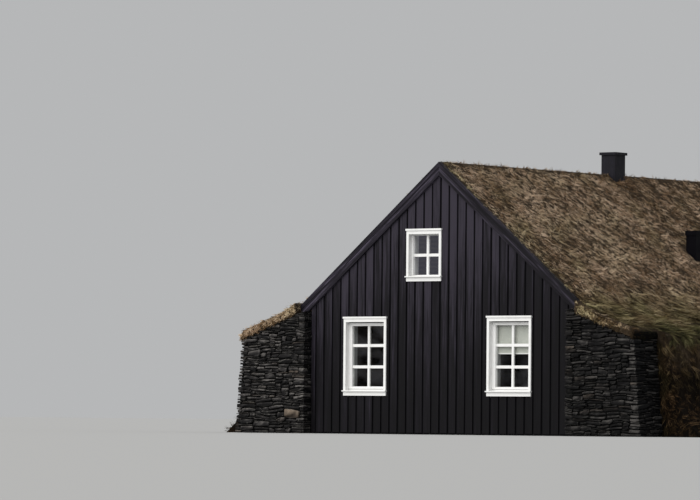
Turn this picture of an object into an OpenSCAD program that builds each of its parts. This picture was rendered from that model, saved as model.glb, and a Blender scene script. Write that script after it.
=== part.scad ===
// Turf house: black timber gables between thick dry stone walls, under one mantle of turf
// X runs along the front gable, the front gable faces -Y, Z is up, lengths in millimetres

/* [House] */
// Length between the two gable walls' outer faces
house_l = 11300; // [8000:50:13000]
// Width of the timber gable between its stone walls
gable_w = 5880; // [5400:10:6400]
// Height of the barge boards' top edge at the apex
ridge_h = 4990; // [4600:10:5400]
// Slope of the roof in degrees
roof_pitch = 39.5; // [38:0.5:41]

/* [Roof] */
// Thickness of the turf, square to the slope
turf_t = 140; // [100:5:200]
// Thickness of the boarded deck under the turf
deck_t = 50; // [25:5:80]
// Depth of a barge board, square to the slope
barge_d = 190; // [150:5:220]
// Thickness of a barge board with its packing
barge_t = 66; // [50:1:90]
// Distance from the middle of the gable to a barge board's foot
barge_reach = 3155; // [3060:5:3300]
// Thickness of the capping along a barge board's top edge
barge_cap_t = 14; // [8:1:30]
// How far the capping stands out past the barge board
barge_cap_out = 14; // [5:1:40]
// Width of the ridge beam
ridge_beam_w = 120; // [80:5:200]
// Height of the ridge beam at its middle
ridge_beam_h = 220; // [160:5:300]

/* [Timber walls] */
// Thickness of a gable wall
gable_t = 180; // [160:5:260]
// Thickness of a side wall inside the turf
side_t = 200; // [100:5:260]
// Thickness of the ground floor slab
floor_t = 50; // [30:5:100]
// Height from the loft floor's top to the barge boards' apex
loft_h = 2550; // [2400:10:2620]
// Thickness of the loft floor
loft_floor_t = 120; // [80:5:180]

/* [Stone walls and banks] */
// Width of a stone wall at the ground
stone_w = 1640; // [1300:5:2000]
// Depth of a stone wall along the house's side
stone_d = 770; // [500:5:1100]
// How far a stone wall stands in front of the gable wall
stone_proj = 250; // [110:5:320]
// Lean of a stone wall's outer side in degrees
stone_batter = 5; // [2:0.5:9]
// Drop from the roof deck's underside to the stone wall's inner top
wall_drop = 40; // [20:5:80]
// Outward fall of a wall's top in degrees
wall_fall = 19.7; // [14:0.1:24]
// How far the turf bank stands out past the stone wall
bank_proud = 200; // [40:5:300]
// Lean of the bank's face in degrees
bank_lean = 12; // [6:0.5:20]
// Spread of the bank's foot past the line of its face
foot_spread = 400; // [50:10:500]
// Height at which the bank's foot begins to spread
foot_h = 700; // [300:10:1000]
// Upright thickness of the turf over a wall
eave_turf_t = 150; // [100:5:220]
// Length of the bend from the roof's slope to the wall's top
eave_bend = 420; // [200:10:600]
// Length over which the turf's edge rounds down
eave_nose = 190; // [80:5:300]
// How far the rounded turf edge hangs out
nose_out = 60; // [20:5:120]

/* [Windows] */
// Width of one pane in a ground floor window
pane_w = 343; // [260:1:380]
// Width of one pane in a loft window
loft_pane_w = 286; // [220:1:340]
// Height of one pane
pane_h = 337; // [260:1:350]
// Width of the upright bars between panes
bar_w = 50; // [30:1:70]
// Height of the level bars between panes
bar_h = 57; // [30:1:75]
// Width of the stiles of a ground floor sash
stile_w = 71; // [40:1:90]
// Width of the stiles of a loft sash
loft_stile_w = 32; // [20:1:60]
// Height of the rails of a ground floor sash
rail_h = 70; // [50:1:110]
// Height of the rails of a loft sash
loft_rail_h = 20; // [15:1:80]
// Width of the casing boards beside a window or a door
casing_w = 50; // [48:1:110]
// Height of the casing board over a window or a door, with its drip cap
head_h = 98; // [70:1:120]
// Height of the casing board under a window, with its sill
apron_h = 95; // [70:1:120]
// How far a casing stands out from the gable wall
casing_out = 47; // [35:1:60]
// Thickness of the lining in a window's opening
lining_t = 30; // [20:1:45]
// Height of the drip cap over a window
cap_h = 34; // [14:1:45]
// Height of the sill board under a window
sill_h = 20; // [15:1:50]
// How far the sill stands out past the casing
sill_out = 34; // [15:1:60]
// How far the cap and sill run past the casing at each end
ear_w = 12; // [4:1:30]
// Depth from the casing's face to the sash
sash_recess = 108; // [70:1:120]
// Thickness of a sash with its frame
sash_t = 80; // [30:1:90]
// Thickness of the sealed glass unit
glass_t = 22; // [12:1:28]
// Height of the ground floor windows' glass above the ground
glass_z = 872; // [760:1:950]
// Height of a loft window's glass above the loft floor
loft_sill = 482; // [400:1:560]
// Distance from the gable's edge to the middle of a ground floor window, before the shift
window_edge = 1310; // [1240:1:1380]
// How far both ground floor windows stand left of the gable's middle
window_shift = 55; // [0:1:80]
// Distance from the gable's middle to the loft window
loft_window_x = 350; // [0:5:400]

/* [Door] */
// Distance from the rear gable's middle to the door
door_x = 325; // [250:5:345]
// Width of the door leaf
leaf_w = 900; // [820:5:940]
// Height of the door leaf
leaf_h = 1960; // [1850:5:1970]
// Thickness of the door leaf
leaf_t = 45; // [36:1:60]
// Gap between the leaf and its frame
leaf_gap = 7; // [6:0.5:10]
// Depth from the casing's face to the leaf
leaf_recess = 70; // [50:1:80]
// Thickness of the door frame's jambs
jamb_t = 45; // [35:1:60]
// How far the stop behind the leaf reaches into the doorway
stop_w = 15; // [10:1:30]
// Thickness of the stop behind the leaf
stop_t = 20; // [12:1:30]
// Height of the threshold above the floor
threshold_h = 20; // [10:1:30]
// Height of the handle above the ground
handle_z = 1050; // [950:5:1150]
// Height of the lock's cover above the ground
lock_z = 950; // [860:5:1000]
// Distance from the leaf's edge to the handle
handle_inset = 62; // [50:1:90]
// Length of the lever
lever_l = 125; // [90:1:150]
// Diameter of the lever and its neck
lever_dia = 19; // [14:1:24]
// Distance from the leaf to the middle of the lever
lever_out = 48; // [35:1:60]
// Diameter of the round covers under the lever and the lock
rose_dia = 52; // [40:1:60]
// Thickness of the round covers
rose_t = 8; // [4:1:12]
// Diameter of the spindle through the leaf
spindle_dia = 16; // [10:1:18]
// Clearance round the spindle
spindle_gap = 0.3; // [0.2:0.05:1]
// Diameter of a hinge's knuckles
knuckle_dia = 16; // [14:1:20]
// Length of one hinge knuckle
knuckle_l = 45; // [30:1:60]
// Diameter of the hinge pins
pin_dia = 9; // [6:0.5:10]
// Radial clearance between a pin and its knuckle
pin_gap = 0.1; // [0.05:0.05:0.3]
// Gap between the two knuckles of a hinge
knuckle_gap = 0.3; // [0.2:0.1:1]
// Distance from the jamb to the hinge axis
hinge_in = 14; // [13:0.5:18]
// Distance from the leaf's face to the hinge axis
hinge_out = 10; // [9:0.5:14]
// Thickness of the hinge plates
hinge_plate_t = 3; // [2:0.5:5]
// Width of a hinge plate on the leaf
hinge_plate_w = 62; // [40:1:90]
// Distance from the leaf's ends to the outer hinges' middles
hinge_inset = 230; // [150:5:350]

/* [Chimney and vent] */
// Width of the chimney across the ridge
chimney_w = 315; // [240:1:360]
// Length of the chimney along the ridge
chimney_l = 345; // [240:1:400]
// Height of the chimney's top edge above the ridge
chimney_rise = 380; // [300:5:600]
// How far the chimney's cap stands out past its walls
chimney_cap_out = 30; // [5:1:60]
// Thickness of the chimney's cap
chimney_cap_t = 52; // [30:1:80]
// Thickness of the chimney's and the vent's walls
flue_wall = 40; // [20:1:60]
// Distance from the middle of the house to the chimney, along the ridge
chimney_y = -50; // [-1500:10:1500]
// Side of the square vent on the right slope
vent_w = 230; // [180:5:300]
// Height of the vent's top edge above the turf on its upper side
vent_rise = 300; // [200:5:450]
// Side of the vent's cap
vent_cap_w = 262; // [220:5:340]
// Thickness of the vent's cap
vent_cap_t = 84; // [40:1:100]
// Distance from the ridge to the vent
vent_x = 1920; // [800:10:2200]
// Distance from the middle of the house to the vent, along the roof
vent_y = -125; // [-1500:5:1500]

/* [Hidden] */

// Colours
timber_black = [0.12, 0.12, 0.13];
joinery_white = [0.93, 0.93, 0.92];
turf_brown = [0.42, 0.36, 0.22];
stone_grey = [0.25, 0.25, 0.25];
deck_wood = [0.62, 0.50, 0.36];
metal_black = [0.08, 0.08, 0.09];
steel_grey = [0.65, 0.66, 0.68];
glass_grey = [0.35, 0.42, 0.45, 0.6];

// Main lines of the house
half_l = house_l / 2;
half_w = gable_w / 2;
room_half_w = half_w - side_t;
room_half_l = half_l - gable_t;
window_x = half_w - window_edge;
roof_t = turf_t + deck_t;
loft_floor_z = ridge_h - loft_h;
loft_glass_z = loft_floor_z + loft_sill;
past = 1;

// Gap between sloping faces that lie on each other
seat_gap = 0.3;

// Height of a line of the roof at x, at a depth square to the slope
function roof_z(x, depth) = ridge_h - abs(x) * tan(roof_pitch) - depth / cos(roof_pitch);

// Top of the timber walls, just under the deck, and foot of what lies on the deck
function timber_z(x) = roof_z(x, roof_t) - seat_gap;
function deck_z(x) = roof_z(x, turf_t) + seat_gap;

// Top of the stone walls and banks
wall_in_z = roof_z(half_w, roof_t) - wall_drop;
function wall_z(x) = wall_in_z - (x - half_w) * tan(wall_fall);
stone_top_w = (stone_w - tan(stone_batter) * wall_in_z) / (1 - tan(stone_batter) * tan(wall_fall));
stone_edge_x = half_w + stone_top_w;
bank_edge_x = stone_edge_x + bank_proud;
bank_half_l = half_l + stone_proj - stone_d;

// Point on a curve between two ends that is pulled towards a third point
function bend(a, b, c, t) = (1 - t) * (1 - t) * a + 2 * t * (1 - t) * b + t * t * c;
bend_steps = 8;

// Foot of the turf bank, which spreads as it nears the ground
function bank_x(z) = bank_edge_x + (wall_z(bank_edge_x) - z) * tan(bank_lean)
    + foot_spread * pow(max(0, 1 - z / foot_h), 2);
bank_steps = 10;

// Where the roof's slope meets the turf over the wall
eave_x = (ridge_h - wall_in_z - eave_turf_t - half_w * tan(wall_fall)) / (tan(roof_pitch) - tan(wall_fall));

// Top line of the turf from an outer edge up to the ridge
function turf_line(edge_x) = concat(
    [for (i = [0 : bend_steps]) bend([edge_x, wall_z(edge_x) + seat_gap],
        [edge_x + nose_out, wall_z(edge_x) + eave_turf_t],
        [edge_x - eave_nose, wall_z(edge_x - eave_nose) + eave_turf_t], i / bend_steps)],
    [for (i = [0 : bend_steps]) bend([eave_x + eave_bend, wall_z(eave_x + eave_bend) + eave_turf_t],
        [eave_x, roof_z(eave_x, 0)],
        [eave_x - eave_bend, roof_z(eave_x - eave_bend, 0)], i / bend_steps)]);

// Half section of the whole turf layer, from the ridge to an outer edge
function turf_section(edge_x) = concat(
    [[0, deck_z(0)], [half_w, deck_z(half_w)], [half_w, wall_in_z + seat_gap]],
    turf_line(edge_x), [[0, ridge_h]]);

// Window sizes
function glass_w(w) = 2 * w + bar_w;
function glass_h(rows) = rows * pane_h + (rows - 1) * bar_h;

// Door lines, with the door's middle at x = 0 and the wall's outer face at y = 0
leaf_z = floor_t + threshold_h + leaf_gap;
frame_in_w = leaf_w + 2 * leaf_gap;
frame_in_z = leaf_z + leaf_h + leaf_gap;
door_rough_w = frame_in_w + 2 * jamb_t;
door_rough_z = frame_in_z + jamb_t;
leaf_face_y = -casing_out + leaf_recess;
axis_x = frame_in_w / 2 - hinge_in;
axis_y = leaf_face_y - hinge_out;
hinge_zs = [leaf_z + hinge_inset, leaf_z + leaf_h / 2, leaf_z + leaf_h - hinge_inset];

// Line at which the rear gable's side pieces end and its top piece begins
rear_split_z = max(door_rough_z, glass_z + glass_h(3) + rail_h + lining_t) + 60;

// Extrudes a section drawn in x and z from y0 to y1
module along_y(y0, y1) {
    translate([0, y1, 0]) rotate([90, 0, 0]) linear_extrude(y1 - y0) children();
}

// Turns what faces the front to face the rear
module rear() {
    rotate([0, 0, 180]) children();
}

// Block centred on x, from y0 to y1 and z0 to z1
module block(w, y0, y1, z0, z1) {
    translate([-w / 2, y0, z0]) cube([w, y1 - y0, z1 - z0]);
}

// Pentagon of a gable wall under the roof deck
module gable_outline() {
    polygon([[-half_w, 0], [half_w, 0], [half_w, timber_z(half_w)],
        [0, timber_z(0)], [-half_w, timber_z(half_w)]]);
}

// Cuts for a window's lining, through a gable wall that faces -Y
module window_cut(x, w, rows, rail, stile, z) {
    ow = glass_w(w) + 2 * (stile + lining_t);
    translate([x, 0, 0]) block(ow, -half_l - past, -room_half_l + past,
        z - rail - lining_t, z + glass_h(rows) + rail + lining_t);
}

module gable_cuts() {
    for (x = [-window_x, window_x]) window_cut(x - window_shift, pane_w, 3, rail_h, stile_w, glass_z);
    window_cut(-loft_window_x, loft_pane_w, 2, loft_rail_h, loft_stile_w, loft_glass_z);
}

module front_gable() {
    color(timber_black) difference() {
        along_y(-half_l, -room_half_l) gable_outline();
        gable_cuts();
    }
}

// The rear gable in three pieces, drawn facing -Y and then turned round
module rear_piece(x0, x1, z0, z1) {
    rear() difference() {
        along_y(-half_l, -room_half_l) intersection() {
            gable_outline();
            translate([x0, z0]) square([x1 - x0, z1 - z0]);
        }
        gable_cuts();
    }
}

module rear_gable_left() {
    color(timber_black) rear_piece(-door_x + door_rough_w / 2, half_w, 0, rear_split_z);
}

module rear_gable_right() {
    color(timber_black) rear_piece(-half_w, -door_x - door_rough_w / 2, 0, rear_split_z);
}

module rear_gable_top() {
    color(timber_black) union() {
        rear_piece(-half_w, half_w, rear_split_z, ridge_h);
        rear_piece(-door_x - door_rough_w / 2, -door_x + door_rough_w / 2, door_rough_z, rear_split_z);
    }
}

module floor_slab() {
    color("gray") block(2 * room_half_w, -room_half_l, room_half_l, 0, floor_t);
}

module loft_floor() {
    color(deck_wood) intersection() {
        block(2 * room_half_w, -room_half_l, room_half_l, loft_floor_z - loft_floor_t, loft_floor_z);
        along_y(-half_l, half_l) gable_outline();
    }
}

module side_wall() {
    color(deck_wood) along_y(-room_half_l, room_half_l) polygon([[room_half_w, 0], [half_w, 0],
        [half_w, timber_z(half_w)], [room_half_w, timber_z(room_half_w)]]);
}

module turf_bank() {
    color(turf_brown) along_y(-bank_half_l, bank_half_l) polygon(concat([[half_w, 0]],
        [for (i = [0 : bank_steps]) let (z = wall_z(bank_edge_x) * i / bank_steps) [bank_x(z), z]],
        [[half_w, wall_in_z]]));
}

module stone_wall() {
    color(stone_grey) along_y(-half_l - stone_proj, -bank_half_l) polygon([[half_w, 0],
        [half_w + stone_w, 0], [stone_edge_x, wall_z(stone_edge_x)], [half_w, wall_in_z]]);
}

module roof_deck() {
    color(deck_wood) along_y(-half_l, half_l) polygon([[0, roof_z(0, roof_t)],
        [half_w, roof_z(half_w, roof_t)], [half_w, roof_z(half_w, turf_t)], [0, roof_z(0, turf_t)]]);
}

// Turf over one stone wall's end, outside the barge board's foot
module turf_end() {
    along_y(-half_l - stone_proj, -half_l) intersection() {
        polygon(turf_section(stone_edge_x));
        translate([barge_reach, 0]) square([stone_edge_x, ridge_h]);
    }
}

module turf_roof() {
    color(turf_brown) union() {
        along_y(-half_l, half_l) polygon(turf_section(stone_edge_x));
        along_y(-bank_half_l, bank_half_l) polygon(turf_section(bank_edge_x));
        turf_end();
        mirror([0, 1, 0]) turf_end();
    }
}

module ridge_beam() {
    color(deck_wood) along_y(-room_half_l, room_half_l) intersection() {
        gable_outline();
        translate([-ridge_beam_w / 2, roof_z(0, roof_t) - ridge_beam_h])
            square([ridge_beam_w, ridge_beam_h]);
    }
}

// Half section of a barge board, whose foot is cut to the wall's top
module barge_outline(top_depth, low_depth) {
    foot_x = min(barge_reach, (ridge_h - low_depth / cos(roof_pitch) - wall_in_z - seat_gap
        - half_w * tan(wall_fall)) / (tan(roof_pitch) - tan(wall_fall)));
    polygon([[0, roof_z(0, low_depth)], [foot_x, roof_z(foot_x, low_depth)],
        [barge_reach, max(wall_z(barge_reach) + seat_gap, roof_z(barge_reach, low_depth))],
        [barge_reach, roof_z(barge_reach, top_depth)], [0, roof_z(0, top_depth)]]);
}

module barge() {
    color(timber_black) union() {
        along_y(-half_l - barge_t, -half_l) barge_outline(0, barge_d);
        along_y(-half_l - barge_t - barge_cap_out, -half_l) barge_outline(0, barge_cap_t);
    }
}

// A window's casing, lining, sill, cap and sash, with the glass's lower edge at z
module window_unit(x, w, rows, rail, stile, z) {
    gw = glass_w(w);
    gh = glass_h(rows);
    open_w = gw + 2 * stile;
    z0 = z - rail;
    z1 = z + gh + rail;
    sash_y = -half_l - casing_out + sash_recess;
    color(joinery_white) translate([x, 0, 0]) difference() {
        union() {
            block(open_w + 2 * casing_w, -half_l - casing_out, -half_l, z0 - apron_h, z1 + head_h);
            block(open_w + 2 * lining_t, -half_l - casing_out, -room_half_l, z0 - lining_t, z1 + lining_t);
            block(open_w + 2 * (casing_w + ear_w), -half_l - casing_out - sill_out, -half_l,
                z0 - sill_h, z0);
            block(open_w + 2 * (casing_w + ear_w), -half_l - casing_out - sill_out / 2, -half_l,
                z1 + head_h - cap_h, z1 + head_h);
        }
        block(open_w, -half_l - casing_out - sill_out - past, sash_y, z0, z1);
        block(gw, sash_y - past, sash_y + sash_t + past, z, z + gh);
        block(open_w, sash_y + sash_t, -room_half_l + past, z0, z1);
    }
}

module glass_unit(x, w, rows, z) {
    glass_y = -half_l - casing_out + sash_recess + (sash_t - glass_t) / 2;
    color(glass_grey) translate([x, 0, 0])
        block(glass_w(w), glass_y, glass_y + glass_t, z, z + glass_h(rows));
}

// Ground floor window on one side of the gable, -1 for left and 1 for right
module ground_window(side) {
    window_unit(side * window_x - window_shift, pane_w, 3, rail_h, stile_w, glass_z);
}

module loft_window() {
    window_unit(-loft_window_x, loft_pane_w, 2, loft_rail_h, loft_stile_w, loft_glass_z);
}

module ground_glass(side) {
    glass_unit(side * window_x - window_shift, pane_w, 3, glass_z);
}

module loft_glass() {
    glass_unit(-loft_window_x, loft_pane_w, 2, loft_glass_z);
}

// Places what is drawn round the door's own origin, facing -Y, into the rear gable
module door_place() {
    rear() translate([-door_x, -half_l, 0]) children();
}

module door_frame() {
    stop_y = leaf_face_y + leaf_t + leaf_gap;
    color(joinery_white) door_place() difference() {
        union() {
            block(frame_in_w + 2 * casing_w, -casing_out, 0, 0, frame_in_z + head_h);
            block(door_rough_w, -casing_out, gable_t, 0, door_rough_z);
            block(frame_in_w + 2 * (casing_w + ear_w), -casing_out - sill_out / 2, 0,
                frame_in_z + head_h - cap_h, frame_in_z + head_h);
        }
        block(frame_in_w, -casing_out - sill_out, stop_y, -past, frame_in_z);
        block(frame_in_w - 2 * stop_w, stop_y - past, stop_y + stop_t + past, -past, frame_in_z - stop_w);
        block(frame_in_w, stop_y + stop_t, gable_t + past, -past, frame_in_z);
    }
}

module door_threshold() {
    stop_y = leaf_face_y + leaf_t + leaf_gap;
    color("dimgray") door_place() union() {
        block(frame_in_w, -casing_out, stop_y, 0, floor_t + threshold_h);
        block(frame_in_w - 2 * stop_w, stop_y - past, stop_y + stop_t + past, 0, floor_t + threshold_h);
        block(frame_in_w, stop_y + stop_t, gable_t, 0, floor_t + threshold_h);
    }
}

// Cylinder along y between two depths
module peg(x, z, dia, y0, y1) {
    translate([x, y0, z]) rotate([-90, 0, 0]) cylinder(d = dia, h = y1 - y0, $fn = 48);
}

handle_x = -leaf_w / 2 + handle_inset;

module door_leaf() {
    color(timber_black) door_place() difference() {
        block(leaf_w, leaf_face_y, leaf_face_y + leaf_t, leaf_z, leaf_z + leaf_h);
        peg(handle_x, handle_z, spindle_dia + 2 * spindle_gap, leaf_face_y - past, leaf_face_y + leaf_t + past);
        peg(handle_x, lock_z, spindle_dia + 2 * spindle_gap, leaf_face_y - past, leaf_face_y + leaf_t + past);
    }
}

// Cover, neck and lever on the outer face, drawn with the leaf's face at y = 0
module lever_side() {
    peg(0, 0, rose_dia, -rose_t, 0);
    peg(0, 0, lever_dia, -lever_out, 0);
    translate([0, -lever_out, 0]) rotate([0, 90, 0]) cylinder(d = lever_dia, h = lever_l, $fn = 48);
    translate([0, -lever_out, 0]) sphere(d = lever_dia, $fn = 48);
}

module door_handle() {
    color(steel_grey) door_place() {
        translate([handle_x, leaf_face_y, handle_z]) lever_side();
        translate([handle_x, leaf_face_y + leaf_t, handle_z]) mirror([0, 1, 0]) lever_side();
        peg(handle_x, handle_z, spindle_dia, leaf_face_y, leaf_face_y + leaf_t);
        peg(handle_x, lock_z, rose_dia, leaf_face_y - rose_t, leaf_face_y);
        peg(handle_x, lock_z, spindle_dia, leaf_face_y - rose_t, leaf_face_y + leaf_t + rose_t);
        peg(handle_x, lock_z, rose_dia, leaf_face_y + leaf_t, leaf_face_y + leaf_t + rose_t);
    }
}

// Jamb plate, lower knuckle and pin of each hinge
module hinge_brackets() {
    color(steel_grey) door_place() for (z = hinge_zs) translate([axis_x, axis_y, z]) {
        translate([hinge_in - hinge_plate_t, -hinge_out, -knuckle_l])
            cube([hinge_plate_t, hinge_out + knuckle_dia / 4, knuckle_l - knuckle_gap]);
        translate([0, -hinge_plate_t / 2, -knuckle_l])
            cube([hinge_in, hinge_plate_t, knuckle_l - knuckle_gap]);
        translate([0, 0, -knuckle_l]) cylinder(d = knuckle_dia, h = knuckle_l - knuckle_gap, $fn = 48);
        translate([0, 0, -knuckle_l]) cylinder(d = pin_dia, h = 2 * knuckle_l - knuckle_gap, $fn = 48);
    }
}

// Upper knuckle of each hinge and its plate on the leaf
module hinge_straps() {
    color(steel_grey) door_place() for (z = hinge_zs) translate([axis_x, axis_y, z]) difference() {
        union() {
            cylinder(d = knuckle_dia, h = knuckle_l, $fn = 48);
            translate([-hinge_plate_w, hinge_out - hinge_plate_t, 0])
                cube([hinge_plate_w, hinge_plate_t, knuckle_l]);
            translate([-knuckle_dia / 2, 0, 0]) cube([knuckle_dia / 2, hinge_out, knuckle_l]);
        }
        translate([0, 0, -past]) cylinder(d = pin_dia + 2 * pin_gap, h = knuckle_l + 2 * past, $fn = 48);
    }
}

// Upright open box whose foot follows the roof deck
module flue(x, y, w, l, top_z) {
    difference() {
        translate([x, y, 0]) block(w, -l / 2, l / 2, 0, top_z);
        translate([x, y, 0]) block(w - 2 * flue_wall, -l / 2 + flue_wall, l / 2 - flue_wall,
            -past, top_z + past);
        along_y(y - l, y + l) polygon([[-2 * half_w, -past], [2 * half_w, -past],
            [2 * half_w, deck_z(2 * half_w)], [0, deck_z(0)], [-2 * half_w, deck_z(2 * half_w)]]);
    }
}

// Plain box that a flue takes out of the turf
module flue_cut(x, y, w, l) {
    translate([x, y, 0]) block(w, -l / 2, l / 2, 0, 2 * ridge_h);
}

chimney_top_z = ridge_h + chimney_rise;
vent_top_z = roof_z(vent_x - vent_w / 2, 0) + vent_rise;

module chimney_body() {
    color(metal_black) flue(0, chimney_y, chimney_w, chimney_l, chimney_top_z);
}

module chimney_cap() {
    color(metal_black) translate([0, chimney_y, 0]) block(chimney_w + 2 * chimney_cap_out,
        -chimney_l / 2 - chimney_cap_out, chimney_l / 2 + chimney_cap_out, chimney_top_z,
        chimney_top_z + chimney_cap_t);
}

module vent_body() {
    color(metal_black) flue(vent_x, vent_y, vent_w, vent_w, vent_top_z);
}

module vent_cap() {
    color(metal_black) translate([vent_x, vent_y, 0]) block(vent_cap_w, -vent_cap_w / 2,
        vent_cap_w / 2, vent_top_z, vent_top_z + vent_cap_t);
}

module turf_roof_left() {
    difference() {
        mirror([1, 0, 0]) turf_roof();
        flue_cut(0, chimney_y, chimney_w, chimney_l);
    }
}

module turf_roof_right() {
    difference() {
        turf_roof();
        flue_cut(0, chimney_y, chimney_w, chimney_l);
        flue_cut(vent_x, vent_y, vent_w, vent_w);
    }
}

floor_slab();
loft_floor();
front_gable();
rear_gable_left();
rear_gable_right();
rear_gable_top();
mirror([1, 0, 0]) side_wall();  // side_wall_left
side_wall();  // side_wall_right
mirror([1, 0, 0]) turf_bank();  // turf_bank_left
turf_bank();  // turf_bank_right
mirror([1, 0, 0]) stone_wall();  // stone_wall_front_left
stone_wall();  // stone_wall_front_right
rear() stone_wall();  // stone_wall_rear_left
rear() mirror([1, 0, 0]) stone_wall();  // stone_wall_rear_right
mirror([1, 0, 0]) roof_deck();  // roof_deck_left
roof_deck();  // roof_deck_right
turf_roof_left();
turf_roof_right();
ridge_beam();
mirror([1, 0, 0]) barge();  // barge_front_left
barge();  // barge_front_right
rear() barge();  // barge_rear_left
rear() mirror([1, 0, 0]) barge();  // barge_rear_right
ground_window(-1);  // window_front_left
ground_window(1);  // window_front_right
loft_window();  // window_front_loft
rear() ground_window(1);  // window_rear_left
rear() ground_window(-1);  // window_rear_right
rear() loft_window();  // window_rear_loft
ground_glass(-1);  // glass_front_left
ground_glass(1);  // glass_front_right
loft_glass();  // glass_front_loft
rear() ground_glass(1);  // glass_rear_left
rear() ground_glass(-1);  // glass_rear_right
rear() loft_glass();  // glass_rear_loft
door_frame();
door_threshold();
door_leaf();
door_handle();
hinge_brackets();
hinge_straps();
chimney_body();
chimney_cap();
vent_body();
vent_cap();
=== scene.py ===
"""Turf house: finishes, boards, window bars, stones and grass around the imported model, in metres."""

import math
from types import SimpleNamespace

import bmesh
import bpy
import numpy as np
from mathutils import Matrix, Vector
from mathutils.bvhtree import BVHTree


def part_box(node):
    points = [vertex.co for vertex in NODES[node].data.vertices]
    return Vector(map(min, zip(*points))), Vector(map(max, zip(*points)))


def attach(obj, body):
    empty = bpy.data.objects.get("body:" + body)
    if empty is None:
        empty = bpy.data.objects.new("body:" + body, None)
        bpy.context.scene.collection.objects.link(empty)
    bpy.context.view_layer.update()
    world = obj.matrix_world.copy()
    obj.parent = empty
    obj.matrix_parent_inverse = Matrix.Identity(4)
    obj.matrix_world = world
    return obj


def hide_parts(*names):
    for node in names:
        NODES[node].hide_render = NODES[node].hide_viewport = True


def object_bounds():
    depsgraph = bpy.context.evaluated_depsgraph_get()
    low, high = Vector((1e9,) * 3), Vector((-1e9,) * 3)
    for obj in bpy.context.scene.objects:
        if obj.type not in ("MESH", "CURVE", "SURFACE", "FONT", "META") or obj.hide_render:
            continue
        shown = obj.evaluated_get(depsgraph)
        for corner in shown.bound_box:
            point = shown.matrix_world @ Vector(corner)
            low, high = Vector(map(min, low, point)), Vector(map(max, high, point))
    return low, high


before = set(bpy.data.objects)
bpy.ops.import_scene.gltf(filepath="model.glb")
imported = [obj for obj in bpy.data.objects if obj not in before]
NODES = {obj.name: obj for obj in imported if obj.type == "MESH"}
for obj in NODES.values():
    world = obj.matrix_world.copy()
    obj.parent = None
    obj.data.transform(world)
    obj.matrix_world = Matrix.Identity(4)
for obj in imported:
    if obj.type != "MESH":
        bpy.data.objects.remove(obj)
CAD_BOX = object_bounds()

# The gables: half the timber house's width and length, the roof and the barge boards along it
(_, GABLE_Y, _), (HALF_W, _, _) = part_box("front_gable")
HALF_L = -GABLE_Y
RIDGE_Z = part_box("barge_front_left")[1].z
PITCH = math.radians(39.5)
BARGE_D = 0.19
STRIP_D = 0.078
STRIP_T = 0.010
CAPPING_T = 0.012
HALF_TURN = np.array(((-1, 0, 0), (0, -1, 0), (0, 0, 1)))
GABLES = (("front", -1, None), ("rear", 1, HALF_TURN))
WINDOWS = ("left", "right", "loft")

# The stone walls, and the hollow beside the right ones where the turf ends short of the bank
(_, FRONT_Y, _), (_, BACK_Y, WALL_IN_Z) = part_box("stone_wall_front_right")
WALL_W = 1.64
WALL_FALL = math.radians(19.7)
WALL_BATTER = math.radians(5)
HOLLOW_X, HOLLOW_Y, HOLLOW_Z = HALF_W + 1.42, 5.15, 1.93

# Windows: how far the casing stands out, the sash inside it, and the bars and rails of the sash
EAR_W = 0.012
CASING_OUT = 0.047
SASH_RECESS = 0.108
SASH_T = 0.08
RAIL_H = 0.070
STILE_W = 0.071
BAR_W = 0.054
BAR_H = 0.059
BAR_OUT = 0.010
BEVEL = 0.005
GABLE_T = 0.18
LINING_T = 0.012
TRIM_W = 0.075
TRIM_T = 0.016

# Boards of the gables
BOARD_SEED = 21
BOARD_PITCH = 0.190
BOARD_START = 0.015
GROOVE_W = 0.036
BOARD_T = 0.022
ARRIS = 0.004
BOARD_FOOT_Z = 0.025
BOARD_STEP_Z = 0.35

# Stones: the grid they are laid out on, the joints, and how far a stone's ends may wear
STONE_SEED = 11
ROW_H = 0.029
CELL_W = 0.036
STONE_JOINT = 0.0084
SQUARE, BLUNT, ROUND = 0.2, 0.4, 1.0
ON_FRONT, ON_FLANK = (0, -1, 0), (1, 0, 0)
FOOT_GAP = 0.002
WALL_OUT_Z = 1.7
TAN_ROWS, TAN_COLS = (10, 15), (3, 13)
INSET = 0.045

# Grass: tufts a square metre and blades a tuft
GRASS_SEED = 7
ON_ROOF, ON_ENDS, ON_BANK, ON_BANK_ENDS = (420, 10), (1100, 7), (150, 9), (300, 7)
CHIMNEY = [sum(pair) / 2 for pair in zip(*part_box("chimney_cap"))][:2]


def roof_z(x, depth):
    """Height of a line of the roof at x, at a depth square to the slope."""
    return RIDGE_Z - abs(x) * math.tan(PITCH) - depth / math.cos(PITCH)


def wall_z(x):
    """Height of a stone wall's top at a distance x from the house's middle."""
    return WALL_IN_Z - (x - HALF_W) * math.tan(WALL_FALL)


def edge_x(z):
    """Outer face of a stone wall at a height."""
    return HALF_W + WALL_W - z * math.tan(WALL_BATTER)


# Meshes


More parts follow.
